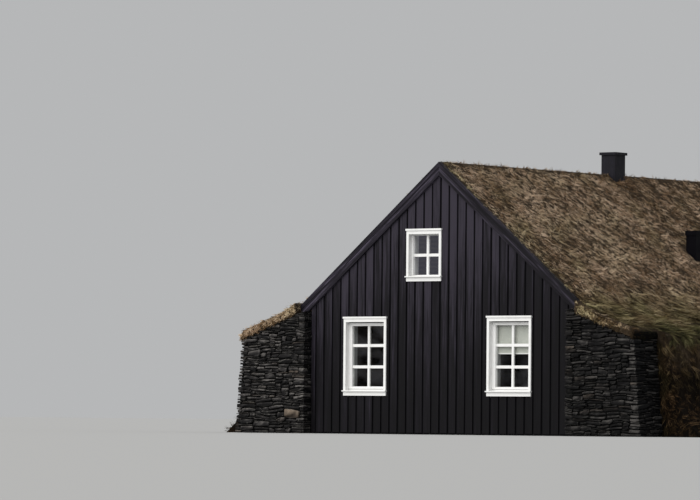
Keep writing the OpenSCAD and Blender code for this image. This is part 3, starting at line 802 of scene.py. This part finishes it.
def corner_stones(seed, pale_corner):
    """The front right corner's stones, laid out in cells on its front, then on its flank.

    A stone is its low corner, high corner, tone, warmth, the way it looks out and how far its ends wear.
    """
    rng = np.random.default_rng(seed)
    cols, rows = int(WALL_W / CELL_W), int(WALL_IN_Z / ROW_H) + 1
    taken = np.zeros((rows, cols), bool)
    for r, c in np.ndindex(rows, cols):
        x, z = HALF_W + (c + 0.5) * CELL_W, r * ROW_H
        taken[r, c] = x > edge_x(z) - 0.4 * CELL_W or z > wall_z(x) - 0.012
    wave = rng.uniform(0, 6, 3)
    stones = []
    flank = np.zeros((rows, int((BACK_Y - FRONT_Y) / CELL_W)), bool)

    def tones(extra, spread=0.24, most=0.85):
        tone = float(np.clip(rng.normal(0.37, spread), 0.0, most)) + extra
        return tone, 0.8 * float(rng.uniform() ** 2.5)

    if seed == STONE_SEED:
        (r0, r1), (c0, c1) = TAN_ROWS, TAN_COLS
        taken[r0:r1, c0:c1] = True
        stones.append(((HALF_W + c0 * CELL_W, FRONT_Y - 0.012, r0 * ROW_H),
                       (HALF_W + c1 * CELL_W, FRONT_Y + 0.2, r1 * ROW_H), 0.92, 1.6, ON_FRONT, BLUNT))
    for c, r, w, h in fill_wall(taken.copy(), rng, 10):
        x0, x1 = HALF_W + c * CELL_W, HALF_W + (c + w) * CELL_W
        sag = 0.010 * math.sin(2.3 * x0 + wave[0]) + 0.006 * math.sin(5.1 * x0 + wave[1])
        z0 = max(r * ROW_H + sag, FOOT_GAP)
        z1 = min((r + h) * ROW_H + sag, wall_z((x0 + x1) / 2) + 0.03)
        if z1 - z0 < 0.015:
            continue
        inner, outer = c == 0, x1 > edge_x(r * ROW_H) - 1.5 * CELL_W
        depth = rng.uniform(0.16, 0.24)
        if outer:
            x1 = edge_x((z0 + z1) / 2)
            depth = CELL_W * int(rng.integers(4, 11))
            flank[r:r + h, :int(round(depth / CELL_W))] = True
        if inner:
            depth = -HALF_L - FRONT_Y - 0.004 if rng.uniform() < 0.6 else 0.13
            if depth < 0.2:
                stones.append(((x0, FRONT_Y + depth, z0), (x0 + 0.2, -HALF_L - 0.002, z1),
                               *tones(-0.1), ON_FLANK, SQUARE))
        extra = 0.05 if inner else pale_corner if outer else 0.0
        stones.append(((x0, FRONT_Y, z0), (x1, FRONT_Y + depth, z1),
                       *tones(extra), ON_FRONT, SQUARE if inner or outer else ROUND))
    flank[[r * ROW_H > wall_z(edge_x(r * ROW_H)) - 0.02 for r in range(rows)]] = True
    for c, r, w, h in fill_wall(flank, rng, 9):
        z0, z1 = max(r * ROW_H, FOOT_GAP), (r + h) * ROW_H
        edge = edge_x((z0 + z1) / 2)
        z1 = min(z1, wall_z(edge) + 0.03)
        if z1 - z0 < 0.02:
            continue
        y0, y1 = FRONT_Y + c * CELL_W, min(FRONT_Y + (c + w) * CELL_W, BACK_Y)
        look = tones(0.0, 0.36, 1.0)
        stones.append(((edge - rng.uniform(0.16, 0.24), y0, z0), (edge, y1, z1),
                       *look, ON_FLANK, ROUND if c else SQUARE))
    return stones


def rub(points, shape, half, out, wear, rng):
    """Rounds the corners of box-shaped stones, wears their ends, roughens and turns them."""
    count = len(half)
    radius = rng.uniform(0.004, 0.013, (count, 1, 1))
    reach = (half[:, None] - radius).clip(0)
    inner = np.clip(points, -reach, reach)
    away = points - inner
    length = np.linalg.norm(away, axis=2, keepdims=True)
    points = inner + away / np.maximum(length, 1e-9) * np.minimum(length, radius)
    along = np.where(out[:, 1:2] < 0, shape[:, 0], shape[:, 1])
    ends = 1 - rng.uniform(0.0, 0.60, (count, 2)) ** 1.3 * wear[:, None]
    scale = 1 - (1 - np.where(along > 0, ends[:, :1], ends[:, 1:])) * np.abs(along) ** 2.2
    lean = rng.uniform(-1, 1, (count, 2))
    lean = np.where(along > 0, lean[:, :1], lean[:, 1:])
    points[:, :, 2] = points[:, :, 2] * scale + lean * (1 - scale) * half[:, 2:3]
    rough = np.minimum(half.min(1), 0.04)[:, None, None] * 0.20
    points = points + rng.normal(0, 1, points.shape) * rough
    swell = (1 - 0.75 * along ** 2) * (1 - 0.8 * shape[:, 2] ** 2) * rng.uniform(0, 0.014, (count, 1))
    points = points + out[:, None] * swell[:, :, None]
    angle = rng.normal(0, 0.016, (count, 3))
    for a in range(3):
        u, v = [k for k in range(3) if k != a]
        c, s = np.cos(angle[:, a])[:, None], np.sin(angle[:, a])[:, None]
        pu, pv = points[:, :, u].copy(), points[:, :, v].copy()
        points[:, :, u], points[:, :, v] = c * pu - s * pv, s * pu + c * pv
    return points


def packing():
    """Points and faces of the dark earth behind the stones."""
    edge = edge_x(WALL_OUT_Z)
    x0, x1, x2 = HALF_W + 0.02, HALF_W + WALL_W - INSET, edge - INSET
    section = ((x0, FOOT_GAP), (x1, FOOT_GAP), (x2, wall_z(edge) - 0.02), (x0, WALL_IN_Z - 0.01))
    points = [(x, y, z) for y in (FRONT_Y + INSET, BACK_Y - 0.002) for x, z in section]
    faces = [(0, 1, 2, 3), (7, 6, 5, 4), (0, 4, 5, 1), (1, 5, 6, 2), (2, 6, 7, 3), (3, 7, 4, 0)]
    return np.array(points), np.array(faces)


def stone_wall(corner, seed, mirror_x, mirror_y):
    """The stones of one corner and the dark packing behind them, in place of its CAD solid."""
    shade = 0.0 if mirror_x else 1.0
    rng = np.random.default_rng(seed + 1000)
    stones = corner_stones(seed, 0.42 if shade else 0.05)
    shape, faces, places = box_template(4, 3, 2)
    n, count = len(shape), len(stones)
    low, high, tone, warm, out, wear = (np.array(column, float) for column in zip(*stones))
    half = np.maximum((high - low) / 2 - STONE_JOINT * rng.uniform(0.3, 1.5, (count, 3)), 0.006)
    middle = (high + low) / 2 + out * np.clip(rng.normal(0, 0.011, (count, 1)), -0.024, 0.020)
    verts = rub(shape[None] * half[:, None], shape, half, out, wear, rng) + middle[:, None]
    x, z = verts[:, :, 0], verts[:, :, 2]
    room = share((wall_z(x) - z) / 0.25) * share(z / 0.2)
    bend = waves(verts.reshape(-1, 3) * (1, 1, 2.2), 0.75, seed + 40).reshape(room.shape)
    verts[:, :, 2] = (z + room * 0.020 * bend).clip(0.001)

    tint = np.repeat(np.stack([tone, warm, np.full(count, shade), np.ones(count)], 1), n, 0)
    # Each stone lighter towards its top and darker towards its foot, partly painted light and shade, partly
    # weathered upper edges; and random spots of tone
    tint[:, 0] += 0.30 * np.tile(shape[:, 2], count) + rng.normal(0, 0.20, len(tint))
    # On the right walls' square corner stones, points on the return face are darker: painted shade
    painted_shade_on_return = np.tile((shape[:, 0] > 0.99) & (shape[:, 1] > -0.99), count)
    tint[:, 0] -= shade * 0.75 * (painted_shade_on_return & np.repeat(wear == SQUARE, n))

    core, core_faces = packing()
    cell, side = bake_cells(count + 1)
    core_uv = np.tile(cell[-1] + np.array([(0, 0), (1, 0), (1, 1), (0, 1)]) * side, (6, 1))
    uv = np.concatenate([(cell[:-1, None] + places[None] * side).reshape(-1, 2), core_uv])
    quads = (faces[None] + (np.arange(count) * n)[:, None, None]).reshape(-1, 4)
    quads = np.concatenate([quads, core_faces + count * n])
    verts = np.concatenate([verts.reshape(-1, 3), core]) * (1 - 2 * mirror_x, 1 - 2 * mirror_y, 1)
    tint = np.concatenate([tint, np.tile([-0.6, 0, 1, 1], (8, 1))])
    if mirror_x != mirror_y:
        quads, uv = quads[:, ::-1], uv.reshape(-1, 4, 2)[:, ::-1].reshape(-1, 2)
    piece = make_mesh("stones_" + corner, verts, [quads], tint=tint, uv=uv)
    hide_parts("stone_wall_" + corner)
    dress(piece, STONE)


# Grass


def surface_samples(obj, density, rng):
    """Random points on a mesh with their normals, density per square metre."""
    mesh = obj.data
    mesh.calc_loop_triangles()
    tris = np.array([t.vertices for t in mesh.loop_triangles])
    co = np.array([v.co for v in mesh.vertices])
    a, b, c = (co[tris[:, k]] for k in range(3))
    cross = np.cross(b - a, c - a)
    area = np.linalg.norm(cross, axis=1) / 2
    count = int(area.sum() * density)
    pick = rng.choice(len(area), count, p=area / area.sum())
    u, v = rng.uniform(size=count), rng.uniform(size=count)
    flip = u + v > 1
    u[flip], v[flip] = 1 - u[flip], 1 - v[flip]
    points = a[pick] + u[:, None] * (b - a)[pick] + v[:, None] * (c - a)[pick]
    return points, cross[pick] / (2 * area[pick, None])


def open_to_air(points, normals, trees, reach=0.25):
    """Which of the points have nothing in front of them."""
    out = np.ones(len(points), bool)
    for i, (p, n) in enumerate(zip(points, normals)):
        start, way = Vector(p + 0.004 * n), Vector(n)
        out[i] = all(tree.ray_cast(start, way, reach)[0] is None for tree in trees)
    return out


def waves(points, size, seed):
    """Smooth noise from about -1 to 1, with hills of a given size."""
    rng = np.random.default_rng(seed)
    out = np.zeros(len(points))
    for k in range(7):
        way = rng.normal(0, 1, 3)
        way *= 2 * math.pi / size * rng.uniform(0.55, 1.5) / np.linalg.norm(way)
        out += np.sin(points @ way + rng.uniform(0, 6.3))
    return out / 3.2


def unit(v):
    return v / np.maximum(np.linalg.norm(v, axis=-1, keepdims=True), 1e-6)


def blades_of(bent, root, tip, middle, side):
    """Points of the blades, their way to the tip, triangles and places in a map cell."""
    if bent:
        verts = np.stack([root, middle - side, middle + side, tip], 1)
        cell = ((0.5, 0.05), (0.05, 0.5), (0.95, 0.5), (0.95, 0.5), (0.05, 0.5), (0.5, 0.95))
        return verts, (0.0, 0.5, 0.5, 1.0), ((0, 1, 2), (2, 1, 3)), cell
    verts = np.stack([root - side, root + side, tip], 1)
    return verts, (0.1, 0.1, 1.0), ((0, 1, 2),), ((0.05, 0.05), (0.95, 0.05), (0.5, 0.95))


def grass(name, obj, stand, trees, keep, style, seed, bent=False):
    """Dry grass on a turf node, in small locks that lie down the slope."""
    rng = np.random.default_rng(seed)
    density, blades = stand
    points, normals = surface_samples(obj, density, rng)
    good = keep(points, normals) & (normals[:, 2] > -0.35)
    points, normals = points[good], normals[good]
    good = open_to_air(points, normals, trees)
    points, normals = points[good], normals[good]
    tufts = len(points)
    look = style(points, normals)
    down = unit(np.array([0, 0, -1.0]) - normals * (-normals[:, 2:3]) + np.array([1e-4, 0, 0]))
    across = np.cross(normals, down)
    swirl = look.swirl * 0.45 * (waves(points, 1.7, 3) + waves(points, 0.50, 4)) + look.turn
    swirl = swirl + rng.normal(0, 1, tufts) * look.mess
    comb = down * np.cos(swirl)[:, None] + across * np.sin(swirl)[:, None]
    comb = unit(comb + normals * look.out[:, None])
    hill = waves(points, 0.42, 5)
    # Each tuft's random tone, with painted shade in dips and pockets between tufts and painted light on the
    # hills
    tone_and_painted_shading = (rng.normal(0, 0.20, tufts) + 0.16 * hill + 0.12 * waves(points, 0.18, 12)
              + 0.13 * waves(points, 1.3, 6))
    tuft_tone = look.tone + look.vary * tone_and_painted_shading
    tuft_len = look.length * rng.uniform(0.7, 1.35, tufts)
    rep = np.repeat(np.arange(tufts), blades)
    n = len(rep)
    spread = rng.normal(0, 1, (n, 2)) * look.spread[rep, None]
    length = tuft_len[rep] * rng.uniform(0.45, 1.15, n)
    up = normals[rep]
    root = points[rep] + down[rep] * spread[:, :1] + across[rep] * spread[:, 1:] - up * 0.004
    rise = np.where(rng.uniform(size=tufts) < look.stand, rng.uniform(0.35, 0.8, tufts),
                    look.lift * rng.uniform(0.3, 1.3, tufts))
    lift = (rise[rep] * length * rng.uniform(0.6, 1.2, n) * (1 + 0.5 * hill[rep]))[:, None]
    fan = rng.normal(0, 0.17, (n, 1))
    way = comb[rep] * np.cos(fan) + np.cross(up, comb[rep]) * np.sin(fan)
    tip = root + way * length[:, None] + up * lift * (0.5 if bent else 1.0)
    side = unit(np.cross(tip - root, up) + rng.normal(0, 0.35, (n, 3)) * length[:, None])
    side = side * rng.uniform(0.006, 0.011, (n, 1)) * look.width[rep, None] / 2
    tone = np.clip(tuft_tone[rep] + rng.normal(0, 0.10, n), 0, 1)
    green = (look.green + 0.20 * waves(points, 0.7, 8))[rep] + rng.normal(0, 0.08, n)
    verts, along, pattern, cell = blades_of(bent, root, tip, (root + tip) / 2 + up * lift, side)
    count = verts.shape[1]
    verts[:, :, 2] = verts[:, :, 2].clip(0.003)
    limit = CAD_BOX[1].x + 0.03
    verts[:, :, 0] = verts[:, :, 0].clip(-limit, limit)
    tint = np.ones((n, count, 4))
    tint[:, :, 0], tint[:, :, 1], tint[:, :, 2] = tone[:, None], green.clip(0, 1)[:, None], along
    tris = np.stack([(np.arange(n) * count)[:, None] + t for t in pattern], 1).reshape(-1, 3)
    corner, cell_side = bake_cells(n)
    uv = (corner[:, None] + np.array(cell)[None] * cell_side).reshape(-1, 2)
    piece = make_mesh(name, verts.reshape(-1, 3), [tris], tint=tint.reshape(-1, 4), uv=uv)
    dress(piece, GRASS)


def tree_of(name):
    mesh = NODES[name].data
    return BVHTree.FromPolygons([v.co[:] for v in mesh.vertices], [p.vertices[:] for p in mesh.polygons])


def share(value):
    return np.clip(value, 0, 1)


def blend(part, a, b):
    return a * (1 - part) + b * part


def pull(look, part, **values):
    """Draws some numbers of the grass's look towards others, by a part from 0 to 1."""
    for key, value in values.items():
        setattr(look, key, blend(part, getattr(look, key), value))


def put_where(look, spots, **values):
    """Sets some numbers of the grass's look where spots holds."""
    for key, value in values.items():
        setattr(look, key, np.where(spots, value, getattr(look, key)))


def on_end(normals):
    """Which points lie on an upright end of the turf."""
    return np.abs(normals[:, 1]) > 0.9


def roof_style(points, normals):
    """How the grass lies on the roof, over the walls and on the turf's upright ends."""
    n, (px, py, z) = len(points), points.T
    x, y = np.abs(px), np.abs(py)
    over = share((x - HALF_W + 0.25) / 0.7)
    look = SimpleNamespace(
        length=blend(over, 0.125, 0.20), green=blend(over, 0.10, 0.52), lift=blend(over, 0.17, 0.24),
        tone=blend(over, 0.665, 0.455) - 0.03 * share(x / 2), swirl=blend(over, 0.9, 0.7),
        mess=blend(over, 1.10, 0.50), turn=blend(over, -0.40, 0.0), out=np.zeros(n), width=np.ones(n),
        vary=np.ones(n), spread=np.full(n, 0.015), stand=blend(over, 0.07, 0.05) * share(x / 0.4))

    # Pale and dark patches, the green foot of the mantle, the verge by the barge boards and the ridge
    for tone, mx, my, size in ((0.09, 1.1, -3.2, 1.2), (-0.18, 0.9, 1.1, 1.5), (-0.16, 2.5, -5.1, 0.5)):
        look.tone += tone * np.exp(-((px - mx) ** 2 + (py - my) ** 2) / size ** 2)
    far = share((x - HALF_W - 0.98) / 0.36)
    look.tone += 0.06 * np.exp(-((x - 1.3) / 0.7) ** 2) - 0.25 * far
    pull(look, far, green=0.85)
    rim = share((y - HALF_L + 0.20) / 0.15) * (x < HALF_W)
    look.tone += rim * (0.07 + 0.22 * waves(points, 0.14, 21))
    pull(look, rim, length=0.075, green=0.44, vary=2.2)
    pull(look, share(1 - x / 0.15), length=0.080, mess=1.1, lift=0.20)

    # The upright ends over the stone walls and the lip above them
    end = on_end(normals)
    edge = end | (y > HALF_L + 0.05)
    right = px > 0
    outer = share((x - HALF_W - 0.25) / 0.5)
    drop = share((x - HALF_W - 0.9) / 0.3) * right
    # Towards the right corner the grass on the edges is shorter and darker: painted shadow under the overhang
    put_where(look, edge, length=blend(drop, blend(outer, 0.045, np.where(end, 0.07, 0.09)), 0.04),
              tone=np.where(right, 0.50 - 0.16 * drop, 0.70), green=np.where(right, 0.18, 0.10))
    put_where(look, edge & right, vary=1.35)
    put_where(look, end, out=0.30, mess=0.45, lift=0.12, turn=1.05 * np.sign(px) * np.sign(-py))
    corner = (x > HALF_W + WALL_W - 0.40) & (y > np.abs(BACK_Y) - 0.10)
    put_where(look, corner & ~end, length=0.09)
    look.stand = look.stand * ~edge

    # Short, dark grass under the lip and in the hollow beside the right walls: bare earth darkened as painted
    # shadow of the overhang; and grass that stands up round the chimney
    under = end * share((wall_z(x) + 0.05 + 0.10 * drop - z) / 0.05)
    hollow = (edge | (y > HOLLOW_Y)) * right * share((x - HOLLOW_X) / 0.06) * (z < HOLLOW_Z)
    pull(look, under, tone=0.0, vary=0.25)
    pull(look, hollow, tone=-0.05, vary=0.2, length=0.03)
    pull(look, under, length=0.03)
    away = np.hypot(px - CHIMNEY[0], py - CHIMNEY[1])
    pull(look, share((0.34 - away) / 0.12), lift=0.9)
    return look


def bank_style(points, normals):
    """Long green grass high on a bank, thin growth below, a curtain down its ends; all of it dark as painted
    shade and damp, darker still low down.
    """
    n, (px, py, z) = len(points), points.T
    x, y = np.abs(px), np.abs(py)
    low = share((1.25 - z + 0.30 * waves(points, 0.8, 9)) / 0.5)
    end = on_end(normals)
    look = SimpleNamespace(
        length=blend(low, 0.15, 0.11), green=blend(low, 0.40, 0.14), lift=blend(low, 0.35, 0.50),
        tone=blend(low, 0.13, 0.07), swirl=np.ones(n), mess=blend(low, 0.7, 1.1), turn=np.zeros(n),
        out=np.zeros(n), width=blend(low, 0.9, 0.7), vary=blend(low, 0.8, 0.42), spread=np.full(n, 0.02),
        stand=0.2 * (1 - end))
    hang = share(1.5 - (x - edge_x(z)) / 0.11) * end
    pull(look, hang, length=0.17, green=0.45, tone=0.06, lift=0.15, mess=0.25, out=0.10)
    edge = share((y - abs(BACK_Y) + 0.14) / 0.10) * ~end
    pull(look, edge, length=0.17, mess=1.3, lift=0.60, tone=0.22)
    return look


def all_grass(side, seed):
    near = [name for name in NODES if name.startswith(("chimney", "vent"))
            or name.startswith(("turf", "stone", "barge", "roof")) and name.endswith(side)]
    trees = [tree_of(name) for name in near]
    roof, bank = NODES[f"turf_roof_{side}"], NODES[f"turf_bank_{side}"]
    for at, (half, way) in enumerate((("front", -1), ("rear", 1))):
        grass(f"grass_roof_{side}_{half}", roof, ON_ROOF, trees,
              lambda p, n: (p[:, 1] * way > 0) & ~on_end(n), roof_style, seed + at)
    grass(f"grass_ends_{side}", roof, ON_ENDS, trees, lambda p, n: on_end(n), roof_style, seed + 2, bent=True)
    grass(f"grass_bank_{side}", bank, ON_BANK, trees,
          lambda p, n: (p[:, 2] > 0.02) & ~on_end(n), bank_style, seed + 3)
    grass(f"grass_bank_ends_{side}", bank, ON_BANK_ENDS, trees,
          lambda p, n: (p[:, 2] > 0.02) & on_end(n), bank_style, seed + 4, bent=True)


# Camera, floor and light


def add_camera():
    """Camera at the photograph's viewing angle, far off with a long lens."""
    yaw, pitch, roll = (math.radians(a) for a in (37.164, 1.919, 0.489))
    focal, distance, start_x, start_z = 5000.0, 92.631, -2.077, 0.3
    look = Vector((-math.sin(yaw) * math.cos(pitch), math.cos(yaw) * math.cos(pitch), math.sin(pitch)))
    right = Vector((math.cos(yaw), math.sin(yaw), 0))
    up = right.cross(look)
    right, up = math.cos(roll) * right + math.sin(roll) * up, math.cos(roll) * up - math.sin(roll) * right
    data = bpy.data.cameras.new("camera")
    data.sensor_width = 36
    data.lens = focal * 36 / 700
    data.clip_end = 1000
    camera = bpy.data.objects.new("camera", data)
    place = Vector((start_x + distance * math.sin(yaw), -HALF_L - distance * math.cos(yaw), start_z))
    camera.matrix_world = Matrix.Translation(place) @ Matrix((right, up, -look)).transposed().to_4x4()
    bpy.context.scene.collection.objects.link(camera)
    bpy.context.scene.camera = camera


def add_floor():
    p = Paint("floor", roughness=1.0, specular=0.0)
    size = 400.0
    verts = [(-size, -size, 0), (size, -size, 0), (size, size, 0), (-size, size, 0)]
    floor = make_mesh("floor", verts, [[(0, 1, 2, 3)]])
    floor.data.materials.append(p.finish((0.50, 0.50, 0.495)))


def add_light():
    scene = bpy.context.scene
    world = bpy.data.worlds.new("studio")
    world.use_nodes = True
    sky = world.node_tree.nodes["Background"].inputs
    sky["Color"].default_value = (0.78, 0.79, 0.80, 1)
    sky["Strength"].default_value = 0.60
    scene.world = world
    sun = bpy.data.lights.new("key", "SUN")
    sun.energy = 2.5
    sun.angle = math.radians(70)
    sun.color = (1.0, 0.985, 0.96)
    key = bpy.data.objects.new("key", sun)
    aim = Vector((0.14, 0.82, -0.62))
    key.rotation_euler = aim.to_track_quat("-Z", "Y").to_euler()
    scene.collection.objects.link(key)
    scene.view_settings.view_transform = "Standard"
    scene.view_settings.look = "None"


add_camera()
add_floor()
add_light()
for at, (side, way, turn) in enumerate(GABLES):
    gable_boards(side, turn, BOARD_SEED + at)
    barge_strips(side, turn)
    seal_and_shadow_strips(side, way)
    for where in WINDOWS:
        window_bars(side, where)
        linings(side, where, turn)
    stone_wall(side + "_left", STONE_SEED + 2 * at, True, side == "rear")
    stone_wall(side + "_right", STONE_SEED + 2 * at + 1, False, side == "rear")
roller_blind()
all_grass("left", GRASS_SEED)
all_grass("right", GRASS_SEED + 10)
